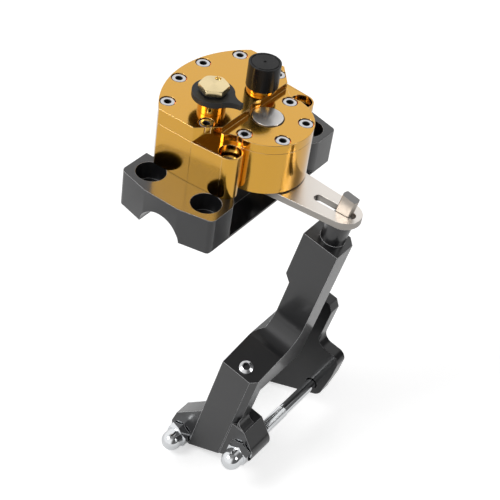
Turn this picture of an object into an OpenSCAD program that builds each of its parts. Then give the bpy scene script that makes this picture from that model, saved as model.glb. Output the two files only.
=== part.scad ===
// Motorcycle steering damper: a rotary vane damper on a handlebar clamp block,
// whose slotted arm takes hold of a pin on a frame-mounted tower.
// Origin on the handlebar axis under the block's centre. X runs from the bar
// towards the pin, Y along the bar and Z up along the damper shaft.

/* [Bar clamp block] */
// Radius of the handlebar that the block seats on
bar_r = 14.3; // [11:0.1:16]
// Length of the block along the bar
block_len = 132.3; // [124:0.1:150]
// Half of the block's width across the bar
block_half_w = 33.2; // [32:0.1:38]
// Height of the block's underside above the bar axis
block_bottom = 1.6; // [0.5:0.1:3]
// Metal between the bar and the top of the block
block_crown = 11.1; // [9:0.1:16]
// Handlebar bolt spacing across the bar
bolt_dx = 40; // [38:0.1:44]
// Handlebar bolt spacing along the bar
bolt_dy = 101.5; // [98:0.1:106]
// Radius of each handlebar bolt hole
bolt_hole_r = 4.4; // [3.5:0.1:5.2]
// Radius of the counterbore for each bolt head
bolt_head_r = 9; // [7:0.1:9.5]
// Depth of the bolt head counterbore
bolt_head_depth = 12; // [6:0.1:13]
// Half length of the straight part of each end face
end_flat = 12; // [8:0.5:20]
// Slope of the end face's outer parts
end_slope = 13; // [5:0.5:20]
// Radius of the block's upright corners
block_corner_r = 4; // [2:0.1:6]
// Half width of the notch in the back edge
notch_half = 39; // [30:0.5:40]
// Depth of the notch in the back edge
notch_depth = 7; // [3:0.5:9]
// Half angle of the fan-shaped pocket that the arm swings in
fan_half = 49.5; // [48:0.5:51]
// Floor left under the front of the pocket
pocket_floor_t = 2; // [1.5:0.1:5]
// Metal between the bar and the pocket
bar_wall = 3.4; // [2.5:0.1:3.6]

/* [Housing and lid] */
// Distance from the bar axis to the damper shaft
shaft_x = 20.6; // [19:0.1:22]
// Height of the housing
housing_h = 28.2; // [24:0.1:40]
// Thickness of the housing floor
floor_t = 4; // [3.6:0.1:6]
// Thickness of the round deck of the lid
lid_t = 5.7; // [5.2:0.1:9]
// Height of the lid's step above the deck
lid_step = 4.3; // [3:0.1:8]
// Radius of the housing's rear arc about the shaft
rear_r = 62.3; // [60.5:0.1:66]
// Half width of the housing at its flat sides
side_y = 43.5; // [42.6:0.1:45]
// Where the flat sides end, from the bar axis
shoulder_x = 0.5; // [-2:0.1:2]
// Where the lid's step stands, from the bar axis
step_x = 11.4; // [10.5:0.1:11.9]
// Half width of the lid at the step
step_y = 31.4; // [30:0.1:33]
// Radius of the scallop in the step round the shaft
scallop_r = 10.9; // [10.7:0.1:11.2]
// Radius of the front drum
drum_r = 27.2; // [26.8:0.1:27.3]
// Place of the fixing ears across the bar
ear_x = 21; // [20.5:0.1:22]
// Place of the fixing ears along the bar
ear_y = 34.7; // [34.6:0.1:35.4]
// Radius of the fixing ears
ear_r = 7.3; // [7.1:0.1:7.4]
// Clearance radius of the lid round the ears
ear_clear_r = 8.4; // [7.6:0.1:8.8]
// Radius of the oil chamber
chamber_r = 50; // [46:0.1:50.5]

/* [Fasteners] */
// Shank radius of the lid screws
lid_screw_r = 2.5; // [2:0.1:2.6]
// Head radius of the lid screws
lid_head_r = 4.1; // [3.6:0.1:4.3]
// Head height of the lid screws
lid_head_h = 3.6; // [2.5:0.1:3.7]
// Radius of the recess for each lid screw head
lid_recess_r = 4.7; // [4.4:0.1:4.9]
// Depth of the recess for each lid screw head
lid_recess_depth = 3.9; // [3:0.1:4.2]
// Thread length of the lid screws in the housing
lid_thread = 14; // [8:0.5:20]
// Circle of the upper lid screws about the shaft
upper_screw_r = 57.2; // [56:0.1:57.4]
// Circle of the lower lid screws about the shaft
lower_screw_r = 22; // [21:0.1:22.4]
// Shank radius of the two mounting screws
mount_screw_r = 3; // [2.5:0.1:3]
// Head radius of the mounting screws
mount_head_r = 5; // [4.5:0.1:5.3]
// Radius of the counterbore for the mounting screws
mount_recess_r = 6.4; // [5.7:0.1:6.5]
// Depth of the counterbore for the mounting screws
mount_recess_depth = 12; // [7:0.1:14]
// Head height of the mounting screws
mount_head_h = 6; // [4:0.1:6.5]

/* [Shaft, vane and arm] */
// Radius of the damper shaft
shaft_r = 9.1; // [8:0.1:9.3]
// Height of the shaft's end above the deck
shaft_proud = 0.7; // [0.2:0.1:1.5]
// Radius of the bush and seal seats
seal_r = 10.4; // [10.1:0.1:10.5]
// Height of each shaft seal
seal_h = 1.7; // [1.2:0.1:2]
// Thickness of the vane
vane_t = 8; // [6:0.1:10]
// Radius of the vane's hub
hub_r = 15.5; // [14:0.1:15.8]
// Swing of the arm to each side
swing = 45; // [30:1:45]
// Thickness of the link arm
arm_t = 4.5; // [3.5:0.1:5.5]
// Gap between the arm and the housing
arm_gap = 0.8; // [0.5:0.1:1.5]
// Radius of the arm's hub end
arm_hub_r = 16.3; // [14:0.1:16.5]
// Radius of the arm's slot end
arm_tip_r = 10.7; // [9:0.1:12]
// Distance from the shaft to the centre of the arm's tip
arm_reach = 59.6; // [56:0.1:64]
// Width of the slot
slot_w = 6; // [5.5:0.1:7]
// Distance between the round ends of the slot
slot_len = 21.8; // [18:0.1:24]
// Metal between the slot's end and the arm's tip
slot_wall = 3.3; // [2.5:0.1:5]

/* [Adjusters] */
// Place of the base adjuster across the bar
base_x = -3.9; // [-6:0.1:-3]
// Place of the base adjuster along the bar
base_y = -21.5; // [-23:0.1:-21]
// Radius of the base adjuster's post
post_r = 8.1; // [7:0.1:9]
// Height of the base adjuster's post
post_h = 8.2; // [6:0.1:12]
// Radius of the pointer's disc
pointer_r = 12.2; // [10:0.1:13]
// Reach of the pointer's beak
pointer_reach = 19.2; // [17:0.1:20]
// Thickness of the pointer
pointer_t = 3.5; // [2.5:0.1:5]
// Angle of the pointer at rest
pointer_rest = 3.6; // [-20:0.1:20]
// Radius of the pointer's neck
neck_r = 7; // [6:0.1:8]
// Height of the pointer's neck
neck_h = 1.2; // [0.8:0.1:6]
// Corner radius of the hexagonal cap
cap_r = 8.9; // [7:0.1:10]
// Height of the cap
cap_h = 3.5; // [3:0.1:7]
// Turn of the cap's corners from the pointer
cap_turn = 33; // [0:1:60]
// Place of the sweep adjuster across the bar
sweep_x = 4; // [2:0.1:5]
// Place of the sweep adjuster along the bar
sweep_y = 15.6; // [15:0.1:17]
// Radius of the sweep adjuster's collar
collar_r = 8.9; // [8:0.1:9.4]
// Height of the sweep adjuster's collar
collar_h = 2.2; // [1.5:0.1:6]
// Radius of the sweep knob
knob_r = 9.6; // [8.5:0.1:10]
// Height of the sweep knob
knob_h = 15.5; // [9:0.1:18]
// Radius of both valve stems
stem_r = 3; // [2.5:0.1:3.5]
// Radius of the spigots that hold the post and the collar in the lid
spigot_r = 5.5; // [4.8:0.1:6.2]

/* [Pin and tower] */
// Distance from the slot's outer end to the pin, at the arm's top face
pin_back = 4.2; // [3.8:0.1:8]
// Lean of the pin and tower away from the shaft axis
lean = 10.5; // [8:0.1:12]
// Radius of the pin
pin_r = 5; // [4.2:0.1:5.4]
// Clearance of the pin's flats to each side of the slot
flat_clear = 0.15; // [0.1:0.01:0.3]
// Height of the pin above the arm along its own axis
pin_proud = 12.3; // [9:0.1:16]
// Length of the pin inside the tower
pin_sunk = 30; // [26:0.5:40]
// Radius of the tower's boss
boss_r = 7.7; // [7.4:0.1:9]
// Gap between the arm and the tower's boss
boss_gap = 0.7; // [0.5:0.1:2]
// Height of the tower's boss
boss_h = 14.7; // [12:0.1:18]
// Left side of the post from the pin axis
post_left = 13.2; // [12:0.1:15]
// Right side of the post from the pin axis
post_right = 11.7; // [10:0.1:14]
// Front of the post from the pin axis
post_front = 11.9; // [10:0.1:14]
// Back of the post from the pin axis
post_back = 8.7; // [8.5:0.1:11]
// Bevel on the post's back right edge
post_bevel = 4.6; // [2:0.1:6]
// Depth of the relief in the post's left side
relief = 4.2; // [2:0.1:5]
// Distance from the post's top to the relief
relief_from = 36; // [30:0.5:42]
// Length of the relief along the post
relief_len = 43; // [30:0.5:44]
// Distance from the post's top to the shelf's crease
crease_drop = 82; // [78:0.5:92]
// Radius of the concave blend between the post and the shelf
blend_r = 16; // [8:0.5:20]
// Slope of the shelf
shelf_slope = 16; // [8:0.5:20]
// Depth of the shelf's solid below its crease
shelf_depth = 22.5; // [18:0.5:28]
// Front of the plate from the pin axis
plate_front = 52; // [48:0.5:58]
// Thickness of the plate
plate_t = 13; // [10:0.5:16]
// Bevel on the plate's right edge
plate_bevel = 3.7; // [2:0.1:6]

/* [Frame clamp] */
// Angle between the clamp's bolt line and the square of the post
rake = 32; // [25:0.5:36]
// Distance from the pin's top plane to the middle of the bolt line
clamp_drop = 182.3; // [178:0.1:195]
// Half of the bolt spacing
clamp_half = 24.8; // [24:0.1:28]
// Radius of the clamp bolts
clamp_bolt_r = 4; // [3.8:0.1:4.5]
// Radius of the plain shank of the clamp bolts
clamp_shank_r = 3.6; // [3:0.1:3.7]
// Length of thread on the clamp bolts
clamp_thread = 40; // [25:0.5:60]
// Radius of the clamp's ears round the bolts
clamp_ear_r = 8.5; // [8.3:0.1:9]
// Extra thickness of the right ear towards the frame
ear_extra = 6.5; // [0.5:0.5:8]
// Depth of the spot-faces under the nuts
spot_depth = 3; // [1:0.1:5]
// Gap between the plate and the rear jaw
frame_gap = 65.5; // [60:0.5:80]
// Thickness of the rear jaw
jaw_t = 8.5; // [7:0.5:14]
// Height of the jaw's horn above the shelf's crease
horn_rise = 6; // [0:0.1:12]
// Drop of the jaw's shoulder below the shelf's crease
shoulder_drop = 30.3; // [24:0.1:36]
// Right side of the jaw from the pin axis
jaw_right = 31.2; // [28:0.1:34]
// Width across the flats of the nuts and bolt heads
nut_af = 14; // [12.5:0.1:14]
// Height of each nut's hexagon
nut_hex_h = 7; // [5:0.1:8]
// Height of the round part between each nut's hexagon and its dome
nut_barrel = 4; // [2:0.1:6]
// Height of each bolt head
bolt_cap_h = 5.3; // [4:0.1:7]
// Thickness of the clamp washers
washer_t = 1.6; // [1:0.1:2.5]
// Radius of the clamp washers
washer_r = 7.6; // [7:0.1:7.6]

/* [Hidden] */

$fn = 64;
// Finishes
gold = "#c9982f";
black = "#1d1d1f";
steel = "#c9c7c4";
bronze = "#a8763a";
brass = "#c8a45a";
rubber = "#2a2a2a";
// Overshoot of a cut past the face that it opens
cut = 1;
// Bite of a straight side into the round end that it runs into
nip = 0.05;
// Radial running clearance of shafts, stems and pins
run_fit = 0.05;
// Radial clearance of bushes, seals and screws in their seats
seat_fit = 0.03;
// Axial running clearance of the turning pieces
axial_fit = 0.1;
// Clearance of the vane to the chamber's walls
vane_clear = 0.35;
// Room beyond the swing at each end of the chamber
swing_spare = 1;

// Levels
block_top = bar_r + block_crown;
lid_z = block_top + housing_h;
deck_z = lid_z + lid_t;
top_z = deck_z + lid_step;
arm_top = block_top - arm_gap;
arm_bottom = arm_top - arm_t;
chamber_z = block_top + floor_t;
far = 2 * rear_r;

// Block values
block_half_len = block_len / 2;
front_x = block_half_w;
corner_x = block_half_w - block_corner_r;
corner_y = block_half_len - (corner_x - end_flat) * tan(end_slope) - block_corner_r / cos(end_slope);
pocket_room = 1.2;
pocket_drop = 2.1;
pocket_r = arm_hub_r + pocket_room;
pocket_z = arm_bottom - pocket_drop;
deep_x = bar_r + bar_wall;
deep_z = block_bottom + pocket_floor_t;
mouth_depth = 2.2;
mouth_flare = 4.4;
mount_thread = 12;
edge_chamfer = 1;

// Arm screw under the shaft
arm_washer_r = 8;
arm_washer_t = 1.6;
arm_head_r = 5;
arm_head_h = 4.6;
arm_screw_r = 3;
arm_thread = 14;
drive_r = 7.4;
drive_fit = 0.05;

// Chamber values
hub_bore_r = hub_r + vane_clear;
chamber_half = vane_t / 2 + vane_clear;
chamber_angle = swing + swing_spare;
vane_r = chamber_r - vane_clear;
vane_z = chamber_z + axial_fit;
vane_h = lid_z - chamber_z - 2 * axial_fit;
lip_t = 0.6;
lip_gap = 0.5;
seal_from = 0.6;
seal_w = 1.5;
seal_cord_h = 1.4;
tip_seal_w = 3;
tip_seal_deep = 4;

// Screw places
upper_angles = [143.5, 168.6, 191.4, 216.5];
lower_angles = [-90, -31.3, 31.3, 90];
shoulder_screw = [2.7, 34.4];

// Valve values
valve_floor = 1;
stem_top_in = 3;
oring_r = 0.75;
cap_bore = cap_h / 2;
spigot_floor = 2;

// Tower values, from the pin's own frame
slot_out = arm_reach + arm_tip_r - slot_wall - slot_w / 2;
slot_in = slot_out - slot_len;
pin_x = shaft_x + slot_out - pin_back;
flat_half = slot_w / 2 - flat_clear;
boss_rise = boss_r * tan(lean) + (arm_t + boss_gap) / cos(lean);
boss_top = -boss_rise;
post_top = boss_top - boss_h;
crease_z = post_top - crease_drop;
crease_y = -post_front - blend_r;
plate_top = crease_z - (plate_front - post_front - blend_r) * tan(shelf_slope);
shelf_bottom = crease_z - shelf_depth;
relief_top = post_top - relief_from;
relief_end = relief_top - relief_len;
relief_slant = 5;
relief_step = 3;
bush_r = 6.2;
plate_back = -plate_front + plate_t;
jaw_front = plate_back + frame_gap;
jaw_back = jaw_front + jaw_t;
seat_y = -plate_front + spot_depth;
nut_r = nut_af / 2 / cos(30);
nut_dome_r = nut_af / 2 - 0.5;
nut_bore = nut_hex_h + 2;
clamp_hole_r = clamp_bolt_r + 0.2;
spot_r = washer_r + 0.6;
ear_rise = 15;
ear_out = 5.8;
ear_high = 14.8;
root_in = 2.8;
root_high = 20.2;
ear_corner = [clamp_half + ear_out, ear_high];
ear_root = [clamp_half - root_in, root_high];
ear_top = -clamp_drop + ear_corner[0] * sin(rake) + ear_corner[1] * cos(rake);
ear_blend = 6;
ear_set = 0.6;
ear_slope = 0.72;

// Shelf screw sizes and its place on the slope
button_r = 2.5;
button_head_r = 4.4;
button_head_h = 2.6;
button_len = 9;
button_in = 6;

// Joins two round ends with tangent sides: radius a at the origin, b at distance l
module tangent_bar(a, b, l) {
    turn = acos((a - b) / l);
    near = (a - nip) * [cos(turn), sin(turn)];
    away = [l, 0] + (b - nip) * [cos(turn), sin(turn)];
    union() {
        polygon([[0, 0], [near[0], -near[1]], [away[0], -away[1]], away, near]);
        circle(a);
    }
    translate([l, 0])
        circle(b);
}

// Places its children at the damper shaft
module at_shaft(z = 0) {
    translate([shaft_x, 0, z])
        children();
}

// Copies its children to both sides of the part's middle plane
module both_sides() {
    children();
    mirror([0, 1, 0])
        children();
}

// Ring between two radii
module ring(outer, inner, h) {
    difference() {
        cylinder(h = h, r = outer);
        translate([0, 0, -cut])
            cylinder(h = h + 2 * cut, r = inner);
    }
}

// Socket screw that stands on its head's underside at z = 0
module socket_screw(head_r, head_h, shank_r, shank_len) {
    socket_from = 0.3 * head_h;
    socket_r = 0.55 * head_r;
    difference() {
        union() {
            cylinder(h = head_h, r = head_r);
            translate([0, 0, -shank_len])
                cylinder(h = shank_len + head_h / 2, r = shank_r);
        }
        translate([0, 0, socket_from])
            cylinder(h = head_h, r = socket_r, $fn = 6);
    }
}

// Places of the six screws of the upper lid
module at_upper_screws(z) {
    for (a = upper_angles)
        at_shaft(z)
            rotate(a)
                translate([upper_screw_r, 0, 0])
                    children();
    both_sides()
        translate([shoulder_screw[0], shoulder_screw[1], z])
            children();
}

// Places of the four screws of the deck
module at_lower_screws(z) {
    for (a = lower_angles)
        at_shaft(z)
            rotate(a)
                translate([lower_screw_r, 0, 0])
                    children();
}

// Places of the two mounting screws
module at_ears(z) {
    both_sides()
        translate([ear_x, ear_y, z])
            children();
}

// Plan of the block with sloped ends and round corners
module block_plan() {
    inner_r = block_corner_r - nip;
    side_x = corner_x + inner_r;
    slope = [corner_x + inner_r * sin(end_slope), corner_y + inner_r * cos(end_slope)];
    quarter = [[side_x, corner_y], slope, [end_flat, block_half_len]];
    ahead = [0, 1, 2];
    back = [2, 1, 0];
    polygon(concat(quarter, [for (i = back) [-quarter[i][0], quarter[i][1]]],
        [for (i = ahead) -quarter[i]], [for (i = back) [quarter[i][0], -quarter[i][1]]]));
    for (x = [-1, 1], y = [-1, 1])
        translate([x * corner_x, y * corner_y])
            circle(block_corner_r);
}

// Plan of the pocket: a fan from the shaft to the front edge, flared at its mouth
module fan_plan() {
    wall = (pocket_r - nip) * [-sin(fan_half), cos(fan_half)];
    run = (front_x - mouth_depth - shaft_x - wall[0]) / cos(fan_half);
    mouth = [front_x - mouth_depth, wall[1] + run * sin(fan_half)];
    translate([shaft_x, 0])
        circle(pocket_r);
    both_sides()
        polygon([[shaft_x, -cut], [front_x + cut, -cut], [front_x + cut, mouth[1] + mouth_flare],
            [front_x, mouth[1] + mouth_flare], mouth, [shaft_x + wall[0], wall[1]]]);
}

module bar_clamp() {
    color(black) difference() {
        translate([0, 0, block_bottom])
            linear_extrude(block_top - block_bottom)
                block_plan();
        // Channel for the handlebar
        rotate([90, 0, 0])
            cylinder(h = block_len + 2 * cut, r = bar_r, center = true);
        // Handlebar bolts with counterbores
        for (x = [-1, 1], y = [-1, 1])
            translate([x * bolt_dx / 2, y * bolt_dy / 2, 0]) {
                cylinder(h = block_top + cut, r = bolt_hole_r);
                translate([0, 0, block_top - bolt_head_depth])
                    cylinder(h = bolt_head_depth + cut, r = bolt_head_r);
            }
        // Pocket that the arm swings in, deep in front of the bar
        translate([0, 0, pocket_z])
            linear_extrude(block_top - pocket_z + cut)
                fan_plan();
        translate([0, 0, deep_z])
            linear_extrude(block_top - deep_z + cut)
                intersection() {
                    fan_plan();
                    translate([deep_x, -block_half_len])
                        square([front_x, block_len]);
                }
        at_shaft(arm_bottom - arm_washer_t - arm_head_h - cut)
            cylinder(h = block_top, r = arm_head_r + cut);
        // Notch in the back edge
        translate([-block_half_w - cut, -notch_half, 0])
            cube([notch_depth + cut, 2 * notch_half, block_top + cut]);
        // Threads for the mounting screws
        at_ears(block_top - mount_thread)
            cylinder(h = mount_thread + cut, r = mount_screw_r + seat_fit);
        // Chamfer along the bottom front edge
        translate([front_x, 0, block_bottom])
            rotate([0, 45, 0])
                cube([edge_chamfer * sqrt(2), block_len, edge_chamfer * sqrt(2)], center = true);
    }
}

// Plan of the high part behind the step
module rear_plan() {
    intersection() {
        translate([shaft_x, 0])
            circle(rear_r);
        polygon([[-far, -side_y], [shoulder_x, -side_y], [step_x, -step_y], [step_x, step_y],
            [shoulder_x, side_y], [-far, side_y]]);
    }
}

module drum_plan() {
    translate([shaft_x, 0])
        circle(drum_r);
    translate([step_x - cut, -step_y])
        square([shaft_x - step_x + cut, 2 * step_y]);
}

module housing_plan() {
    rear_plan();
    translate([shaft_x, 0])
        circle(drum_r);
    translate([shoulder_x - cut, -ear_y - ear_r + nip])
        square([ear_x - shoulder_x + cut, 2 * (ear_y + ear_r - nip)]);
    for (side = [-1, 1])
        translate([ear_x, side * ear_y])
            circle(ear_r);
}

// Plan of the oil chamber, with its walls moved out by grow
module chamber_plan(grow = 0) {
    half = chamber_half + grow;
    translate([shaft_x, 0]) {
        circle(hub_bore_r + grow);
        intersection() {
            circle(chamber_r + grow);
            union() {
                polygon([[0, 0], far * [-cos(chamber_angle), sin(chamber_angle)], [-far, 0],
                    far * [-cos(chamber_angle), -sin(chamber_angle)]]);
                for (side = [-1, 1])
                    rotate(side * chamber_angle)
                        translate([-far, -half])
                            square([far, 2 * half]);
            }
        }
    }
}

module housing() {
    color(gold) difference() {
        translate([0, 0, block_top])
            linear_extrude(housing_h)
                housing_plan();
        translate([0, 0, chamber_z])
            linear_extrude(housing_h)
                chamber_plan();
        at_shaft(block_top - cut)
            cylinder(h = floor_t + 2 * cut, r = seal_r + seat_fit);
        // Groove for the lid seal
        translate([0, 0, lid_z - seal_cord_h])
            linear_extrude(seal_cord_h + cut)
                seal_plan(0);
        at_upper_screws(lid_z - lid_thread)
            cylinder(h = lid_thread + cut, r = lid_screw_r + seat_fit);
        at_lower_screws(lid_z - lid_thread)
            cylinder(h = lid_thread + cut, r = lid_screw_r + seat_fit);
        at_ears(block_top - cut)
            cylinder(h = housing_h + 2 * cut, r = mount_screw_r + seat_fit);
        at_ears(lid_z - mount_recess_depth)
            cylinder(h = mount_recess_depth + cut, r = mount_recess_r);
    }
}

// Plan of the seal cord round the chamber, slimmer than its groove by fit
module seal_plan(fit) {
    difference() {
        chamber_plan(seal_from + seal_w - fit);
        chamber_plan(seal_from + fit);
    }
}

module lid_seal() {
    color(rubber)
        translate([0, 0, lid_z - seal_cord_h])
            linear_extrude(seal_cord_h)
                seal_plan(seat_fit);
}

module lid() {
    color(gold) difference() {
        union() {
            translate([0, 0, lid_z])
                linear_extrude(lid_t)
                    difference() {
                        union() {
                            rear_plan();
                            drum_plan();
                        }
                        both_sides()
                            translate([ear_x, ear_y])
                                circle(ear_clear_r);
                    }
            translate([0, 0, deck_z])
                linear_extrude(lid_step)
                    difference() {
                        rear_plan();
                        translate([shaft_x, 0])
                            circle(scallop_r);
                    }
        }
        // Seat of the bush and seal, under a lip at the deck
        at_shaft(lid_z - cut) {
            cylinder(h = lid_t - lip_t + cut, r = seal_r + seat_fit);
            cylinder(h = lid_t + 2 * cut, r = shaft_r + lip_gap);
        }
        at_upper_screws(lid_z - cut)
            cylinder(h = top_z - lid_z + 2 * cut, r = lid_screw_r + seat_fit);
        at_upper_screws(top_z - lid_recess_depth)
            cylinder(h = lid_recess_depth + cut, r = lid_recess_r);
        at_lower_screws(lid_z - cut)
            cylinder(h = lid_t + 2 * cut, r = lid_screw_r + seat_fit);
        at_lower_screws(deck_z - lid_recess_depth)
            cylinder(h = lid_recess_depth + cut, r = lid_recess_r);
        // Seats of the two valves
        for (place = [[base_x, base_y], [sweep_x, sweep_y]])
            translate([place[0], place[1], lid_z + valve_floor]) {
                cylinder(h = top_z, r = stem_r + run_fit);
                translate([0, 0, spigot_floor])
                    cylinder(h = top_z, r = spigot_r + seat_fit);
            }
    }
}

module upper_lid_screws() {
    color(steel)
        at_upper_screws(top_z - lid_recess_depth)
            socket_screw(lid_head_r, lid_head_h, lid_screw_r,
                top_z - lid_recess_depth - lid_z + lid_thread - cut);
}

module lower_lid_screws() {
    color(steel)
        at_lower_screws(deck_z - lid_recess_depth)
            socket_screw(lid_head_r, lid_head_h, lid_screw_r,
                deck_z - lid_recess_depth - lid_z + lid_thread - cut);
}

module mounting_screws() {
    color(steel)
        at_ears(lid_z - mount_recess_depth)
            socket_screw(mount_head_r, mount_head_h, mount_screw_r,
                housing_h - mount_recess_depth + mount_thread - cut);
}

module upper_bush() {
    color(bronze)
        at_shaft(lid_z)
            ring(seal_r, shaft_r + run_fit, lid_t - lip_t - seal_h);
}

module upper_shaft_seal() {
    color(rubber)
        at_shaft(deck_z - lip_t - seal_h)
            ring(seal_r, shaft_r + run_fit, seal_h - axial_fit);
}

module lower_bush() {
    color(bronze)
        at_shaft(block_top + seal_h)
            ring(seal_r, shaft_r + run_fit, floor_t - seal_h);
}

module lower_shaft_seal() {
    color(rubber)
        at_shaft(block_top + axial_fit)
            ring(seal_r, shaft_r + run_fit, seal_h - axial_fit);
}

// Fixed body of a valve: a round part on the lid with a spigot below it
module valve_body(r, h) {
    spigot_h = top_z - lid_z - valve_floor - spigot_floor;
    difference() {
        union() {
            cylinder(h = h, r = r);
            translate([0, 0, -spigot_h])
                cylinder(h = spigot_h + cut, r = spigot_r);
        }
        translate([0, 0, -spigot_h - cut])
            cylinder(h = spigot_h + h + 2 * cut, r = stem_r + run_fit);
    }
}

module base_valve_post() {
    color(gold)
        translate([base_x, base_y, top_z])
            valve_body(post_r, post_h);
}

module sweep_valve_collar() {
    color(gold)
        translate([sweep_x, sweep_y, top_z])
            valve_body(collar_r, collar_h);
}

module damper_shaft() {
    color(steel) difference() {
        union() {
            at_shaft(arm_top)
                cylinder(h = deck_z + shaft_proud - arm_top, r = shaft_r);
            at_shaft(arm_bottom + axial_fit)
                cylinder(h = arm_t + cut, r = drive_r, $fn = 6);
        }
        at_shaft(arm_bottom - cut)
            cylinder(h = arm_thread + 2 * cut, r = arm_screw_r + seat_fit);
    }
}

// Plan of the vane's wing, rounded to the chamber at its tip
module wing_plan(half, from) {
    intersection() {
        circle(vane_r);
        translate([-far, -half])
            square([far - from, 2 * half]);
    }
}

module vane() {
    color(steel)
        at_shaft(vane_z)
            linear_extrude(vane_h)
                difference() {
                    union() {
                        circle(hub_r);
                        wing_plan(vane_t / 2, 0);
                    }
                    circle(shaft_r + seat_fit);
                    wing_plan(tip_seal_w / 2 + seat_fit, vane_r - tip_seal_deep);
                }
}

module vane_seal() {
    color(rubber)
        at_shaft(vane_z)
            linear_extrude(vane_h)
                wing_plan(tip_seal_w / 2, vane_r - tip_seal_deep + seat_fit);
}

module link_arm() {
    color(steel)
        at_shaft(arm_bottom)
            difference() {
                linear_extrude(arm_t)
                    tangent_bar(arm_hub_r, arm_tip_r, arm_reach);
                translate([0, 0, -cut])
                    cylinder(h = arm_t + 2 * cut, r = drive_r + drive_fit, $fn = 6);
                for (x = [slot_in, slot_out])
                    translate([x, 0, -cut])
                        cylinder(h = arm_t + 2 * cut, r = slot_w / 2);
                translate([slot_in, -slot_w / 2, -cut])
                    cube([slot_out - slot_in, slot_w, arm_t + 2 * cut]);
            }
}

module arm_washer() {
    color(steel)
        at_shaft(arm_bottom - arm_washer_t)
            ring(arm_washer_r, arm_screw_r + seat_fit, arm_washer_t);
}

module arm_screw() {
    color(steel)
        at_shaft(arm_bottom - arm_washer_t)
            rotate([180, 0, 0])
                socket_screw(arm_head_r, arm_head_h, arm_screw_r, arm_washer_t + arm_thread);
}

// Valve stem with a groove for its O-ring, from the valve's floor up by h
module valve_stem(h) {
    groove_z = top_z - lid_z - valve_floor;
    translate([0, 0, axial_fit])
        difference() {
            cylinder(h = h - axial_fit, r = stem_r);
            translate([0, 0, groove_z])
                ring(stem_r + cut, stem_r - 2 * oring_r, 2 * oring_r);
        }
}

// O-ring in the groove of a valve stem
module valve_oring() {
    groove_z = top_z - lid_z - valve_floor;
    translate([0, 0, axial_fit + groove_z + oring_r])
        rotate_extrude()
            translate([stem_r - oring_r, 0])
                circle(oring_r, $fn = 24);
}

module at_base_valve(z) {
    translate([base_x, base_y, z])
        rotate(pointer_rest)
            children();
}

module at_sweep_valve(z) {
    translate([sweep_x, sweep_y, z])
        children();
}

// Plan of the pointer: a disc whose flanks sweep in to a blunt beak
module pointer_plan() {
    tip_half = 1.4;
    flank_r = 11;
    flank_y = tip_half + flank_r;
    flank_x = sqrt(pow(pointer_r + flank_r, 2) - pow(flank_y, 2));
    root_half = pointer_r * flank_y / (pointer_r + flank_r) + cut;
    circle(pointer_r);
    difference() {
        translate([0, -root_half])
            square([pointer_reach, 2 * root_half]);
        for (side = [-1, 1])
            translate([flank_x, side * flank_y])
                circle(flank_r);
    }
}

module pointer() {
    color(black) difference() {
        at_base_valve(top_z + post_h + axial_fit) {
            linear_extrude(pointer_t)
                pointer_plan();
            cylinder(h = pointer_t + neck_h, r = neck_r);
        }
        at_base_valve(top_z)
            cylinder(h = post_h + pointer_t + neck_h + cut, r = stem_r + seat_fit);
    }
}

module base_knob() {
    face_r = 0.9 * cap_r;
    chamfer = 30;
    dimple_r = 1.8;
    dimple_out = 0.67 * cap_r;
    dimple_turn = cap_turn + 70;
    dimple_depth = 1.6;
    color(brass)
        at_base_valve(top_z + post_h + axial_fit + pointer_t + neck_h)
            difference() {
                intersection() {
                    rotate(cap_turn)
                        cylinder(h = cap_h, r = cap_r, $fn = 6);
                    cylinder(h = cap_h, r1 = face_r + cap_h / tan(chamfer), r2 = face_r);
                }
                rotate(dimple_turn)
                    translate([dimple_out, 0, cap_h - dimple_depth])
                        cylinder(h = cap_h, r = dimple_r);
                translate([0, 0, -cut])
                    cylinder(h = cap_bore + cut, r = stem_r + seat_fit);
            }
}

module base_needle() {
    stem_h = top_z - lid_z - valve_floor + post_h + pointer_t + neck_h + cap_bore;
    color(steel)
        at_base_valve(lid_z + valve_floor)
            valve_stem(stem_h);
}

module base_oring() {
    color(rubber)
        at_base_valve(lid_z + valve_floor)
            valve_oring();
}

module sweep_knob() {
    dish_r = knob_r - 1.2;
    dish_depth = 0.5;
    dimple_r = 1;
    stem_in = knob_h - stem_top_in;
    color(black)
        at_sweep_valve(top_z + collar_h + axial_fit)
            difference() {
                cylinder(h = knob_h, r = knob_r);
                translate([0, 0, knob_h - dish_depth])
                    ring(dish_r, dish_r - dish_depth, dish_depth + cut);
                translate([0, 0, knob_h - dish_depth])
                    cylinder(h = knob_h, r = dimple_r);
                translate([0, 0, -cut])
                    cylinder(h = stem_in + cut, r = stem_r + seat_fit);
            }
}

module sweep_spindle() {
    stem_h = top_z - lid_z - valve_floor + collar_h + axial_fit + knob_h - stem_top_in;
    color(steel)
        at_sweep_valve(lid_z + valve_floor)
            valve_stem(stem_h);
}

module sweep_oring() {
    color(rubber)
        at_sweep_valve(lid_z + valve_floor)
            valve_oring();
}

// Frame of the pin and tower: along the leaning pin, from the arm's top face
module tower_frame() {
    translate([pin_x, 0, arm_top])
        rotate([0, lean, 0])
            children();
}

// Frame of the clamp: along the bolt line, from its middle
module clamp_frame() {
    translate([0, 0, -clamp_drop])
        rotate([0, -rake, 0])
            children();
}

// Extrudes a front view along Y, between two places
module upright(y_from, y_to) {
    translate([0, y_to, 0])
        rotate([90, 0, 0])
            linear_extrude(y_to - y_from)
                children();
}

// Copies its children to both clamp bolts
module at_clamp_bolts() {
    tower_frame()
        clamp_frame()
            for (side = [-1, 1])
                translate([side * clamp_half, 0, 0])
                    children();
}

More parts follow.
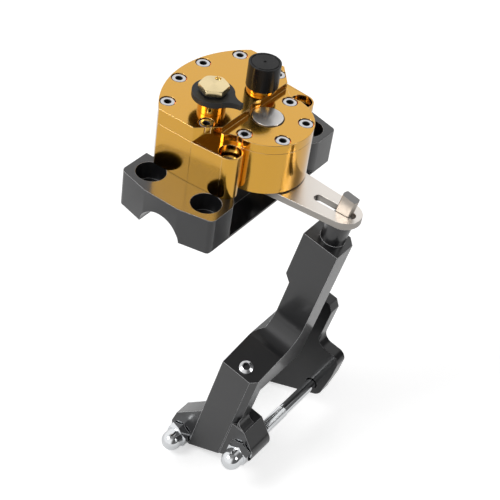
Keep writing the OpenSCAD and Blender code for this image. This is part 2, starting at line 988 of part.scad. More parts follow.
module tower_pin() {
    flats_from = boss_top + axial_fit;
    color(steel)
        tower_frame()
            difference() {
                translate([0, 0, boss_top - pin_sunk])
                    cylinder(h = pin_sunk + boss_rise + pin_proud, r = pin_r);
                for (side = [-1, 1])
                    translate([-2 * pin_r, side * (flat_half + pin_r) - pin_r, flats_from])
                        cube([4 * pin_r, 2 * pin_r, boss_rise + pin_proud]);
            }
}

module pin_bush() {
    color(bronze)
        tower_frame()
            translate([0, 0, boss_top - pin_sunk])
                ring(bush_r, pin_r + run_fit, pin_sunk - axial_fit);
}

// Side view of the post, shelf and plate, as (along Y, along the post)
module tower_side() {
    foot = -clamp_drop - 2 * clamp_half;
    polygon([[-post_front, post_top], [-post_front, crease_z], [crease_y, crease_z],
        [-plate_front, plate_top], [-plate_front, foot], [plate_back, foot],
        [plate_back, shelf_bottom], [post_back, shelf_bottom], [post_back, post_top]]);
    difference() {
        translate([crease_y, crease_z])
            square(blend_r);
        translate([crease_y, crease_z + blend_r])
            circle(blend_r);
    }
}

// Front view of the post and plate with the relief in the left side
module tower_front() {
    foot = -clamp_drop - 2 * clamp_half;
    polygon([[-post_left, post_top], [-post_left, relief_top],
        [relief - post_left, relief_top - relief_slant], [relief - post_left, relief_end],
        [-post_left, relief_end - relief_step], [-post_left, foot], [post_right, foot],
        [post_right, post_top]]);
}

// Front view of both ears, from the middle of the bolt line
module ears_front() {
    end_x = clamp_half + clamp_ear_r - nip;
    slope_x = clamp_half + ear_slope * clamp_ear_r;
    low = nip - clamp_ear_r;
    polygon([[-clamp_half, low], [clamp_half, low], [end_x, 0], ear_corner, ear_root,
        [0, ear_rise + clamp_ear_r], [-clamp_half, ear_rise], [-slope_x, ear_rise / 2],
        [-end_x, 0]]);
    for (side = [-1, 1])
        translate([side * clamp_half, 0])
            circle(clamp_ear_r);
}

module tower() {
    button_seat = 4;
    inner_x = post_right / cos(rake);
    color(black)
        tower_frame()
            difference() {
                union() {
                    translate([0, 0, post_top - cut])
                        cylinder(h = boss_h + cut, r = boss_r);
                    difference() {
                        intersection() {
                            translate([-post_left, 0, 0])
                                rotate([90, 0, 90])
                                    linear_extrude(post_left + post_right)
                                        tower_side();
                            upright(-plate_front, post_back)
                                tower_front();
                        }
                        edge_bevel(post_right, post_back, post_bevel, shelf_bottom, post_top);
                        edge_bevel(post_right, -plate_front, plate_bevel,
                            -clamp_drop - 2 * clamp_half, plate_top + plate_t);
                    }
                    // Blend between the plate's side and the right ear
                    upright(2 * ear_set - plate_front, plate_back - 2 * ear_set)
                        difference() {
                            translate([post_right - nip, ear_top - nip])
                                square(ear_blend + nip);
                            translate([post_right + ear_blend, ear_top + ear_blend])
                                circle(ear_blend);
                        }
                    clamp_frame() {
                        upright(ear_set - plate_front, plate_back - ear_set)
                            ears_front();
                        // Pad behind the right ear
                        upright(plate_back - plate_t / 2, plate_back + ear_extra)
                            intersection() {
                                ears_front();
                                translate([inner_x, -far])
                                    square(2 * far);
                            }
                    }
                }
                // Bottom of the plate, square to the bolt line
                clamp_frame()
                    translate([-far, -far, -clamp_ear_r - far])
                        cube([2 * far, 2 * far, far]);
                // Seat of the pin's bush
                translate([0, 0, boss_top - pin_sunk])
                    cylinder(h = pin_sunk + cut, r = bush_r + seat_fit);
                // Clamp bolts and the spot-faces of their nuts
                clamp_frame()
                    for (side = [-1, 1])
                        translate([side * clamp_half, 0, 0])
                            rotate([90, 0, 0]) {
                                cylinder(h = plate_front + cut, r = clamp_hole_r);
                                translate([0, 0, -seat_y])
                                    cylinder(h = spot_depth + cut, r = spot_r);
                            }
                shelf_screw_frame()
                    translate([0, 0, -button_len])
                        cylinder(h = button_len + button_seat, r = button_r + seat_fit);
            }
}

// Frame of the shelf screw: on the slope, square to it
module shelf_screw_frame() {
    translate([0, -plate_front + button_in, plate_top + button_in * tan(shelf_slope)])
        rotate([shelf_slope, 0, 0])
            children();
}

module shelf_screw() {
    dome_r = 1.6 * button_head_r;
    color(steel)
        tower_frame()
            shelf_screw_frame()
                difference() {
                    union() {
                        translate([0, 0, -button_len + cut])
                            cylinder(h = button_len, r = button_r);
                        intersection() {
                            cylinder(h = button_head_h, r = button_head_r);
                            translate([0, 0, button_head_h - dome_r])
                                sphere(dome_r);
                        }
                    }
                    translate([0, 0, button_head_h / 2])
                        cylinder(h = button_head_h, r = button_r * 0.7, $fn = 6);
                }
}

// Cuts an upright edge at the corner (x, y) by a bevel of the given width
module edge_bevel(x, y, width, z_from, z_to) {
    translate([x, y, z_from - cut])
        rotate(45)
            translate([-width / sqrt(2), -width / sqrt(2), 0])
                cube([width * sqrt(2), width * sqrt(2), z_to - z_from + 2 * cut]);
}

// Front view of the rear jaw in the tower's frame: a horn on a plate with two round ears
module jaw_front_view() {
    horn_left = -2;
    horn_right = 12;
    horn_top = crease_z + horn_rise;
    bevel_w = 3.3;
    bevel_h = 4.9;
    shoulder_z = crease_z - shoulder_drop;
    side_drop = 18;
    round_r = 6;
    fillet_r = 6.5;
    ear = clamp_ear_r - nip;
    middle = [0, -clamp_drop];
    bolt = clamp_half * [cos(rake), sin(rake)];
    low = ear * [sin(rake), -cos(rake)];
    corner = [jaw_right - round_r, shoulder_z - round_r];
    polygon([middle - bolt + low, middle + bolt + low, middle + bolt + [ear, 0],
        [jaw_right - nip, shoulder_z - side_drop], [jaw_right - nip, corner[1]],
        [corner[0], shoulder_z - nip], [horn_right, shoulder_z - nip],
        [horn_right, horn_top - bevel_h], [horn_right - bevel_w, horn_top],
        [horn_left, horn_top], [horn_left, shoulder_z], middle - bolt - [ear, 0]]);
    for (side = [-1, 1])
        translate(middle + side * bolt)
            circle(clamp_ear_r);
    translate(corner)
        circle(round_r);
    // Blend between the horn and the shoulder
    difference() {
        translate([horn_right - nip, shoulder_z - 2 * nip])
            square([fillet_r + nip, fillet_r + 2 * nip]);
        translate([horn_right + fillet_r, shoulder_z + fillet_r - nip])
            circle(fillet_r);
    }
}

module rear_jaw() {
    color(black)
        tower_frame()
            difference() {
                upright(jaw_front, jaw_back)
                    jaw_front_view();
                clamp_frame()
                    for (side = [-1, 1])
                        translate([side * clamp_half, jaw_back + cut, 0])
                            rotate([90, 0, 0])
                                cylinder(h = jaw_t + 2 * cut, r = clamp_hole_r);
            }
}

module clamp_bolts() {
    shank = jaw_back - seat_y + washer_t + nut_bore - cut;
    color(steel)
        at_clamp_bolts()
            translate([0, jaw_back, 0])
                rotate([90, 0, 0]) {
                    cylinder(h = shank, r = clamp_shank_r);
                    translate([0, 0, shank - clamp_thread])
                        cylinder(h = clamp_thread, r = clamp_bolt_r);
                    translate([0, 0, -bolt_cap_h])
                        cylinder(h = bolt_cap_h, r = nut_r, $fn = 6);
                }
}

module clamp_washers() {
    color(steel)
        at_clamp_bolts()
            translate([0, seat_y, 0])
                rotate([90, 0, 0])
                    ring(washer_r, clamp_bolt_r + seat_fit, washer_t);
}

module acorn_nuts() {
    color(steel)
        at_clamp_bolts()
            translate([0, seat_y - washer_t, 0])
                rotate([90, 0, 0])
                    difference() {
                        union() {
                            cylinder(h = nut_hex_h, r = nut_r, $fn = 6);
                            cylinder(h = nut_hex_h + nut_barrel, r = nut_dome_r);
                            translate([0, 0, nut_hex_h + nut_barrel])
                                sphere(nut_dome_r);
                        }
                        translate([0, 0, -far])
                            cylinder(h = far, r = far);
                        translate([0, 0, -cut])
                            cylinder(h = nut_bore + cut, r = clamp_bolt_r + seat_fit);
                    }
}

bar_clamp();
housing();
lid();
upper_lid_screws();
lower_lid_screws();
mounting_screws();
lid_seal();
upper_bush();
lower_bush();
upper_shaft_seal();
lower_shaft_seal();
base_valve_post();
sweep_valve_collar();
damper_shaft();
vane();
vane_seal();
link_arm();
arm_washer();
arm_screw();
pointer();
base_knob();
base_needle();
base_oring();
sweep_knob();
sweep_spindle();
sweep_oring();
tower_pin();
tower();
pin_bush();
rear_jaw();
clamp_bolts();
clamp_washers();
acorn_nuts();
shelf_screw();
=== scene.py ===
"""Looks of a motorcycle steering damper: its finishes, edges, screws and nuts, in a white studio."""

import logging
import math
from collections.abc import Sequence
from dataclasses import dataclass
from enum import Enum

import bmesh
import bpy
from mathutils import Matrix, Vector


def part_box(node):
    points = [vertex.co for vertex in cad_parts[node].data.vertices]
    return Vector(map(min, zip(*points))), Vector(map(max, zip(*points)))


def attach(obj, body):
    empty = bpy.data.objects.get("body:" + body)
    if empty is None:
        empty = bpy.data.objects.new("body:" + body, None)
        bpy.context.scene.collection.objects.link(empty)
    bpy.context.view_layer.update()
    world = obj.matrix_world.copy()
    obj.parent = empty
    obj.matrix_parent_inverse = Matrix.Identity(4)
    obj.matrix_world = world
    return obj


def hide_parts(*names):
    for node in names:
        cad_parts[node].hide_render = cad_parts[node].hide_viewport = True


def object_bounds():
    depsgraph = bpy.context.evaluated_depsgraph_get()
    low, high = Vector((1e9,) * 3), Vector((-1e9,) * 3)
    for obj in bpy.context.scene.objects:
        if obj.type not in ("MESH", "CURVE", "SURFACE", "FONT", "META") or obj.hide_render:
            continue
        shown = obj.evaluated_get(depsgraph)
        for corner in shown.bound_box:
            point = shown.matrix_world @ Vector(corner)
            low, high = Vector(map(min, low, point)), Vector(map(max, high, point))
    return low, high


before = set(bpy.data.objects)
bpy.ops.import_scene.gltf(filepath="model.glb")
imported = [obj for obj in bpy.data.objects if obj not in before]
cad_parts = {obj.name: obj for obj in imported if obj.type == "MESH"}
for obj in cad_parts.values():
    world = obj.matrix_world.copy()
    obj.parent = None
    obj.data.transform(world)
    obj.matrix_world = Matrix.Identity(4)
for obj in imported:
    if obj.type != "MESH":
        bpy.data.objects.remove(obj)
CAD_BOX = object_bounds()

LOG = logging.getLogger("steering_damper")
MM = 0.001
DOWN = Vector((0.0, 0.0, -1.0))
FORWARD = Vector((0.0, -1.0, 0.0))

# How finely the round pieces are drawn, and the angle at which two faces meet in a sharp edge.
RING_POINTS = 72
CHAMFER_STEPS = 4
THREAD_STEPS = 8
DOME_STEP_DEG = 6
SHARP_DEG = 28.0

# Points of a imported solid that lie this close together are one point.
JOIN_MM = 0.001

# Depth of the marks that a brush, a mould or a lathe leaves.
GRAIN_DEPTH_MM = 0.05
RING_DEPTH_MM = 0.02

# Blender's wave texture runs through this many radians over one unit of its scale.
WAVE_RADIANS = 20.0

# Sockets of a Mix node that take and give colours.
COLOUR_A = 6
COLOUR_B = 7
MIXED_COLOUR = 2


class Slot(Enum):
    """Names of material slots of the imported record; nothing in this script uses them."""

    GOLD_ANODISED = "gold_anodised"
    BRIGHT_STEEL = "bright_steel"
    CHROME = "chrome"


def linear(colour: str) -> tuple[float, float, float, float]:
    """Turn an sRGB hex colour into linear light.

    Args:
        colour: Hex value such as "#d2a040".

    Returns:
        Linear red, green, blue and an alpha of 1.
    """
    parts = [int(colour[i : i + 2], 16) / 255 for i in (1, 3, 5)]
    light = [c / 12.92 if c <= 0.04045 else ((c + 0.055) / 1.055) ** 2.4 for c in parts]
    return light[0], light[1], light[2], 1.0


def add_node(
    tree: bpy.types.NodeTree,
    kind: str,
    settings: dict[str | int, object] | None = None,
    links: dict[str | int, bpy.types.NodeSocket] | None = None,
) -> bpy.types.Node:
    """Add one node with its settings and links.

    Args:
        tree: Node tree that takes the node.
        kind: Blender's name of the node type.
        settings: Values for the node's own attributes or its input sockets.
        links: Output sockets that feed the named input sockets.

    Returns:
        The new node.
    """
    node = tree.nodes.new(kind)
    for name, value in (settings or {}).items():
        if isinstance(name, str) and hasattr(node, name):
            setattr(node, name, value)
        else:
            node.inputs[name].default_value = value
    for name, source in (links or {}).items():
        tree.links.new(source, node.inputs[name])
    return node


def new_material(name: str) -> tuple[bpy.types.Material, bpy.types.NodeTree]:
    """Make an empty node material.

    Args:
        name: Name of the finish.

    Returns:
        The material and its empty node tree.
    """
    material = bpy.data.materials.new(name)
    material.use_nodes = True
    material.node_tree.nodes.clear()
    return material, material.node_tree


def per_metre(size_mm: float) -> float:
    """Scale of a texture whose pattern repeats at a real size in millimetres."""
    return 1 / (size_mm * MM)


@dataclass(frozen=True)
class AnodisedFinish:
    """Machined aluminium, polished or milled, then dyed in the anodising bath.

    The clear oxide over the dye gives a deep even colour, with faint clouds in its gloss.
    Along the edges a paler colour is mixed in as a painted highlight: it starts and is full
    at two cosines of the angle by which a rounded edge leans from its face.
    """

    name: str
    colour: str
    edge_highlight_colour: str
    metallic: float
    roughness: float
    cloud_mm: float = 14.0
    cloud: float = 0.04
    grain_mm: float = 0.35
    grain: float = 0.02
    edge_mm: float = 0.45
    edge_samples: int = 6
    edge_highlight: float = 0.7
    highlight_starts: float = 0.99
    highlight_full: float = 0.9
    specular: float = 0.5
    coat: float = 1.0
    coat_roughness: float = 0.05
    coat_ior: float = 1.35

    def material(self) -> bpy.types.Material:
        """Build the finish as a node material.

        Returns:
            The new material.
        """
        material, tree = new_material(self.name)
        place = add_node(tree, "ShaderNodeTexCoord")
        clouds = add_node(
            tree,
            "ShaderNodeTexNoise",
            {"Scale": per_metre(self.cloud_mm), "Detail": 3.0},
            {"Vector": place.outputs["Object"]},
        )
        gloss = add_node(
            tree,
            "ShaderNodeMapRange",
            {"To Min": self.roughness - self.cloud, "To Max": self.roughness + self.cloud},
            {"Value": clouds.outputs["Fac"]},
        )
        grain = add_node(
            tree,
            "ShaderNodeTexNoise",
            {"Scale": per_metre(self.grain_mm), "Detail": 2.0},
            {"Vector": place.outputs["Object"]},
        )
        edges = add_node(
            tree, "ShaderNodeBevel", {"samples": self.edge_samples, "Radius": self.edge_mm * MM}
        )
        bump = add_node(
            tree,
            "ShaderNodeBump",
            {"Strength": self.grain, "Distance": GRAIN_DEPTH_MM * MM},
            {"Height": grain.outputs["Fac"], "Normal": edges.outputs["Normal"]},
        )
        shape = add_node(tree, "ShaderNodeNewGeometry")
        lean = add_node(
            tree,
            "ShaderNodeVectorMath",
            {"operation": "DOT_PRODUCT"},
            {0: edges.outputs["Normal"], 1: shape.outputs["Normal"]},
        )
        # Painted highlight: the edge colour is mixed in where the rounded edge's normal leans from the
        # face's.
        painted_highlight = add_node(
            tree,
            "ShaderNodeMapRange",
            {"From Min": self.highlight_starts, "From Max": self.highlight_full, "To Min": 0.0, "To Max": self.edge_highlight},
            {"Value": lean.outputs["Value"]},
        )
        tint = add_node(
            tree,
            "ShaderNodeMix",
            {"data_type": "RGBA", COLOUR_A: linear(self.colour), COLOUR_B: linear(self.edge_highlight_colour)},
            {0: painted_highlight.outputs["Result"]},
        )
        shader = add_node(
            tree,
            "ShaderNodeBsdfPrincipled",
            {
                "Metallic": self.metallic,
                "Specular IOR Level": self.specular,
                "Coat Weight": self.coat,
                "Coat Roughness": self.coat_roughness,
                "Coat IOR": self.coat_ior,
            },
            {
                "Base Color": tint.outputs[MIXED_COLOUR],
                "Roughness": gloss.outputs["Result"],
                "Normal": bump.outputs["Normal"],
                "Coat Normal": edges.outputs["Normal"],
            },
        )
        add_node(tree, "ShaderNodeOutputMaterial", None, {"Surface": shader.outputs["BSDF"]})
        return material


@dataclass(frozen=True)
class BrushedFinish:
    """Steel plate brushed along one direction, its steep sides painted a darker grey as shade.

    Fine parallel scratches stretch the highlights across the strokes. Real strokes are too fine
    to show, so they are drawn as coarse as they need to.
    """

    name: str
    colour: str
    side_shade_colour: str
    roughness: float
    stroke_mm: float = 0.5
    stroke_length: float = 60.0
    gloss_spread: float = 0.1
    depth: float = 0.12

    def material(self) -> bpy.types.Material:
        """Build the finish as a node material.

        Returns:
            The new material.
        """
        material, tree = new_material(self.name)
        place = add_node(tree, "ShaderNodeTexCoord")
        stretch = add_node(
            tree,
            "ShaderNodeMapping",
            {"Scale": (1.0 / self.stroke_length, 1.0, 1.0)},
            {"Vector": place.outputs["Object"]},
        )
        strokes = add_node(
            tree,
            "ShaderNodeTexNoise",
            {"Scale": per_metre(self.stroke_mm), "Detail": 4.0},
            {"Vector": stretch.outputs["Vector"]},
        )
        gloss = add_node(
            tree,
            "ShaderNodeMapRange",
            {
                "To Min": self.roughness - self.gloss_spread,
                "To Max": self.roughness + self.gloss_spread,
            },
            {"Value": strokes.outputs["Fac"]},
        )
        bump = add_node(
            tree,
            "ShaderNodeBump",
            {"Strength": self.depth, "Distance": GRAIN_DEPTH_MM * MM},
            {"Height": strokes.outputs["Fac"]},
        )
        # Painted shade: steep sides take the darker side colour, faces that look up or down the pale one.
        facing = add_node(tree, "ShaderNodeSeparateXYZ", None, {0: place.outputs["Normal"]})
        steepness = add_node(
            tree, "ShaderNodeMath", {"operation": "ABSOLUTE"}, {0: facing.outputs["Z"]}
        )
        sides = add_node(
            tree,
            "ShaderNodeMix",
            {"data_type": "RGBA", COLOUR_A: linear(self.side_shade_colour), COLOUR_B: linear(self.colour)},
            {0: steepness.outputs["Value"]},
        )
        shader = add_node(
            tree,
            "ShaderNodeBsdfPrincipled",
            {"Metallic": 1.0},
            {
                "Base Color": sides.outputs[MIXED_COLOUR],
                "Roughness": gloss.outputs["Result"],
                "Normal": bump.outputs["Normal"],
            },
        )
        add_node(tree, "ShaderNodeOutputMaterial", None, {"Surface": shader.outputs["BSDF"]})
        return material


@dataclass(frozen=True)
class TurnedFinish:
    """Metal faced on a lathe.

    Fine rings round the axis draw the light out into two bright wedges across a flat end. A real
    feed is too fine to show, so the rings are drawn as coarse as they need to.
    """

    name: str
    colour: str
    metallic: float
    roughness: float
    axis: tuple[float, float]
    ring_mm: float = 2.827
    ring_waver: float = 0.6
    depth: float = 0.1
    anisotropy: float = 0.85
    specular: float = 0.5

    def material(self) -> bpy.types.Material:
        """Build the finish as a node material.

        Returns:
            The new material.
        """
        material, tree = new_material(self.name)
        place = add_node(tree, "ShaderNodeTexCoord")
        centred = add_node(
            tree,
            "ShaderNodeVectorMath",
            {"operation": "SUBTRACT", 1: (self.axis[0], self.axis[1], 0.0)},
            {0: place.outputs["Object"]},
        )
        flat = add_node(
            tree,
            "ShaderNodeVectorMath",
            {"operation": "MULTIPLY", 1: (1.0, 1.0, 0.0)},
            {0: centred.outputs["Vector"]},
        )
        tangent = add_node(
            tree, "ShaderNodeVectorMath", {"operation": "NORMALIZE"}, {0: flat.outputs["Vector"]}
        )
        rings = add_node(
            tree,
            "ShaderNodeTexWave",
            {
                "wave_type": "RINGS",
                "rings_direction": "Z",
                "Scale": per_metre(self.ring_mm) * math.tau / WAVE_RADIANS,
                "Distortion": self.ring_waver,
                "Detail": 2.0,
            },
            {"Vector": flat.outputs["Vector"]},
        )
        bump = add_node(
            tree,
            "ShaderNodeBump",
            {"Strength": self.depth, "Distance": RING_DEPTH_MM * MM},
            {"Height": rings.outputs["Fac"]},
        )
        shader = add_node(
            tree,
            "ShaderNodeBsdfPrincipled",
            {
                "Base Color": linear(self.colour),
                "Metallic": self.metallic,
                "Roughness": self.roughness,
                "Specular IOR Level": self.specular,
                "Anisotropic": self.anisotropy,
            },
            {"Tangent": tangent.outputs["Vector"], "Normal": bump.outputs["Normal"]},
        )
        add_node(tree, "ShaderNodeOutputMaterial", None, {"Surface": shader.outputs["BSDF"]})
        return material


@dataclass(frozen=True)
class PlainMetalFinish:
    """Bright metal, plated, ground or polished.

    A mirror, clear or dull, whose gloss has small handling marks. A top colour, painted shade, shows on
    faces that look upward, between two heights of their normal.
    """

    name: str
    colour: str
    roughness: float
    top_shade_colour: str | None = None
    top_shade_starts: float = 0.6
    top_shade_full: float = 0.9
    mark_mm: float = 3.0
    marks: float = 0.03

    def material(self) -> bpy.types.Material:
        """Build the finish as a node material.

        Returns:
            The new material.
        """
        material, tree = new_material(self.name)
        place = add_node(tree, "ShaderNodeTexCoord")
        marks = add_node(
            tree,
            "ShaderNodeTexNoise",
            {"Scale": per_metre(self.mark_mm), "Detail": 4.0},
            {"Vector": place.outputs["Object"]},
        )
        gloss = add_node(
            tree,
            "ShaderNodeMapRange",
            {"To Min": self.roughness, "To Max": self.roughness + 2 * self.marks},
            {"Value": marks.outputs["Fac"]},
        )
        shader = add_node(
            tree,
            "ShaderNodeBsdfPrincipled",
            {"Base Color": linear(self.colour), "Metallic": 1.0},
            {"Roughness": gloss.outputs["Result"]},
        )
        # Painted shade: faces that look upward are mixed towards the top colour.
        if self.top_shade_colour is not None:
            facing = add_node(tree, "ShaderNodeSeparateXYZ", None, {0: place.outputs["Normal"]})
            upward = add_node(
                tree,
                "ShaderNodeMapRange",
                {"From Min": self.top_shade_starts, "From Max": self.top_shade_full},
                {"Value": facing.outputs["Z"]},
            )
            ends = add_node(
                tree,
                "ShaderNodeMix",
                {"data_type": "RGBA", COLOUR_A: linear(self.colour), COLOUR_B: linear(self.top_shade_colour)},
                {0: upward.outputs["Result"]},
            )
            tree.links.new(ends.outputs[MIXED_COLOUR], shader.inputs["Base Color"])
        add_node(tree, "ShaderNodeOutputMaterial", None, {"Surface": shader.outputs["BSDF"]})
        return material


@dataclass(frozen=True)
class RubberFinish:
    """Moulded nitrile rubber, a dark dull grey with a soft broad sheen."""

    name: str = "moulded_nitrile_rubber"
    colour: str = "#232323"
    roughness: float = 0.6
    ior: float = 1.52
    grain_mm: float = 0.4
    grain: float = 0.1

    def material(self) -> bpy.types.Material:
        """Build the finish as a node material.

        Returns:
            The new material.
        """
        material, tree = new_material(self.name)
        place = add_node(tree, "ShaderNodeTexCoord")
        grain = add_node(
            tree,
            "ShaderNodeTexNoise",
            {"Scale": per_metre(self.grain_mm), "Detail": 2.0},
            {"Vector": place.outputs["Object"]},
        )
        bump = add_node(
            tree,
            "ShaderNodeBump",
            {"Strength": self.grain, "Distance": GRAIN_DEPTH_MM * MM},
            {"Height": grain.outputs["Fac"]},
        )
        shader = add_node(
            tree,
            "ShaderNodeBsdfPrincipled",
            {"Base Color": linear(self.colour), "Roughness": self.roughness, "IOR": self.ior},
            {"Normal": bump.outputs["Normal"]},
        )
        add_node(tree, "ShaderNodeOutputMaterial", None, {"Surface": shader.outputs["BSDF"]})
        return material


@dataclass(frozen=True)
class EdgeBreak:
    """Small rounding that is left on each sharp edge of a machined piece."""

    width_mm: float = 0.3
    segments: int = 2
    sharp_deg: float = 32.0
    flat_deg: float = 0.2
    weld_mm: float = 0.004

    def cut(self, piece: bpy.types.Object) -> None:
        """Round the sharp edges of a piece by modifiers.

        Args:
            piece: Mesh object to work on.
        """
        weld = piece.modifiers.new("joined_facets", "WELD")
        weld.merge_threshold = self.weld_mm * MM
        flats = piece.modifiers.new("whole_flats", "DECIMATE")
        flats.decimate_type = "DISSOLVE"
        flats.angle_limit = math.radians(self.flat_deg)
        bevel = piece.modifiers.new("broken_edges", "BEVEL")
        bevel.width = self.width_mm * MM
        bevel.segments = self.segments
        bevel.limit_method = "ANGLE"
        bevel.angle_limit = math.radians(self.sharp_deg)
        bevel.miter_outer = "MITER_ARC"
        normals = piece.modifiers.new("flat_normals", "WEIGHTED_NORMAL")
        normals.keep_sharp = False


def dress(node: str, material: bpy.types.Material, edges: EdgeBreak | None = None) -> None:
    """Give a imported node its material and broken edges.

    Args:
        node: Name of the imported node.
        material: Finish of the whole node.
        edges: Edge rounding, where the piece has any.
    """
    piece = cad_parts[node]
    piece.data.materials.clear()
    piece.data.materials.append(material)
    if edges is not None:
        edges.cut(piece)
    LOG.info("dressed %s with %s", node, material.name)


@dataclass(frozen=True)
class Ring:
    """One ring of points of a turned, threaded or hexagonal piece.

    Where hex_mm is set, the round radius is the cone that chamfers the hexagon's corners.
    """

    along_mm: float
    round_mm: float
    hex_mm: float | None = None
    groove_mm: float = 0.0
    pitch_mm: float = 1.25
    finish: int = 0

    def reach(self, turn: float) -> float:
        """Radius of the ring in one direction.

        Args:
            turn: Angle from a corner of the hexagon, in radians.

        Returns:
            The radius in millimetres.
        """
        if self.hex_mm is not None:
            off_flat = turn % (math.pi / 3) - math.pi / 6
            return min(self.round_mm, self.hex_mm / math.cos(off_flat))
        if self.groove_mm:
            phase = (self.along_mm / self.pitch_mm - turn / math.tau) % 1
            return self.round_mm - self.groove_mm * abs(2 * phase - 1)
        return self.round_mm


@dataclass(frozen=True)
class Seat:
    """Frame of one fastener: it starts at a point and runs along an axis."""

    start: Vector
    axis: Vector
    corner: Vector
    length_mm: float

    def point(self, along_mm: float, out_mm: float, turn: float) -> Vector:
        """Place of a point that is given along the axis and round it.

        Args:
            along_mm: Distance from the start.
            out_mm: Distance from the axis.
            turn: Angle from the corner's direction, in radians.

        Returns:
            The point, in metres.
        """
        side = self.axis.cross(self.corner)
        out = self.corner * math.cos(turn) + side * math.sin(turn)
        return self.start + (self.axis * along_mm + out * out_mm) * MM


def islands(node: str) -> list[list[Vector]]:
    """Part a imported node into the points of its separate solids.

    Args:
        node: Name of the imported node.

    Returns:
        One list of points for each solid.
    """
    body = bmesh.new()
    body.from_mesh(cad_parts[node].data)
    bmesh.ops.remove_doubles(body, verts=body.verts, dist=JOIN_MM * MM)
    groups = []
    left = set(body.verts)
    while left:
        edge = [left.pop()]
        group = []
        while edge:
            point = edge.pop()
            group.append(point.co.copy())
            for link in point.link_edges:
                other = link.other_vert(point)
                if other in left:
                    left.remove(other)
                    edge.append(other)
        groups.append(group)
    body.free()
    return groups


def seats_of(node: str, axis: Vector) -> list[Seat]:
    """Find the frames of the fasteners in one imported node.

    Args:
        node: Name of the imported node.
        axis: Direction that they run in.

    Returns:
        One seat for each, with its corner towards the point farthest from the axis.
    """
    one = axis.orthogonal().normalized()
    two = axis.cross(one)
    seats = []
    for group in islands(node):
        middle = Vector((0.0, 0.0, 0.0))
        for side in (one, two):
            reach = [p.dot(side) for p in group]
            middle += side * (min(reach) + max(reach)) / 2
        along = [p.dot(axis) for p in group]
        spread = [(p - middle) - axis * (p - middle).dot(axis) for p in group]
        corner = max(spread, key=lambda offset: offset.length).normalized()
        seats.append(Seat(middle + axis * min(along), axis, corner, (max(along) - min(along)) / MM))
    return seats


def finish_mesh(
    name: str, body: bmesh.types.BMesh, finishes: Sequence[bpy.types.Material]
) -> bpy.types.Object:
    """Turn a built mesh into an object with its finishes.

    Args:
        name: Name of the new object.
        body: The built mesh, which is freed.
        finishes: Materials of the object's slots.

    Returns:
        The new object, linked to the scene.
    """
    bmesh.ops.recalc_face_normals(body, faces=body.faces)
    mesh = bpy.data.meshes.new(name)
    body.to_mesh(mesh)
    body.free()
    mesh.shade_smooth()
    mesh.set_sharp_from_angle(angle=math.radians(SHARP_DEG))
    for finish in finishes:
        mesh.materials.append(finish)
    piece = bpy.data.objects.new(name, mesh)
    bpy.context.scene.collection.objects.link(piece)
    LOG.info("built %s with %d faces", name, len(mesh.polygons))
    return piece


def flat_axis(node: str) -> Vector:
    """Find the direction that most of a node's flat area faces.

    Args:
        node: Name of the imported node.

    Returns:
        The direction, which for a socket screw is from its head to its end.
    """
    flats: dict[tuple[float, ...], Vector] = {}
    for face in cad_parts[node].data.polygons:
        key = tuple(round(part, 2) for part in face.normal)
        flats[key] = flats.get(key, Vector((0.0, 0.0, 0.0))) + face.normal * face.area
    return max(flats.values(), key=lambda flat: flat.length).normalized()


def loft(
    name: str, pieces: Sequence[tuple[Seat, Sequence[Ring]]], finishes: Sequence[bpy.types.Material]
) -> bpy.types.Object:
    """Skin stacks of rings into closed pieces, each from a point on its axis to another.

    Args:
        name: Name of the new object.
        pieces: Seat and rings of each piece, the rings in order along the seat's axis.
        finishes: Materials that the rings choose from.

    Returns:
        The new object, linked to the scene.
    """
    body = bmesh.new()
    for seat, rings in pieces:
        loops = []
        for ring in rings:
            count = RING_POINTS if ring.round_mm > 0 else 1
            turns = [math.tau * k / RING_POINTS for k in range(count)]
            points = [seat.point(ring.along_mm, ring.reach(turn), turn) for turn in turns]
            loops.append([body.verts.new(point) for point in points])
        for ring, one, two in zip(rings, loops, loops[1:]):
            for k in range(RING_POINTS):
                near, far = (k % len(one), (k + 1) % len(one)), ((k + 1) % len(two), k % len(two))
                corners = [*(one[i] for i in near), *(two[i] for i in far)]
                body.faces.new(dict.fromkeys(corners)).material_index = ring.finish
    return finish_mesh(name, body, finishes)


def stand_for(piece: bpy.types.Object, node: str, body: str) -> None:
    """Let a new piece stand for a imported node, on the node's body.

    Args:
        piece: The new piece.
        node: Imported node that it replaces.
        body: Body that it rides on.
    """
    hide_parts(node)
    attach(piece, body)


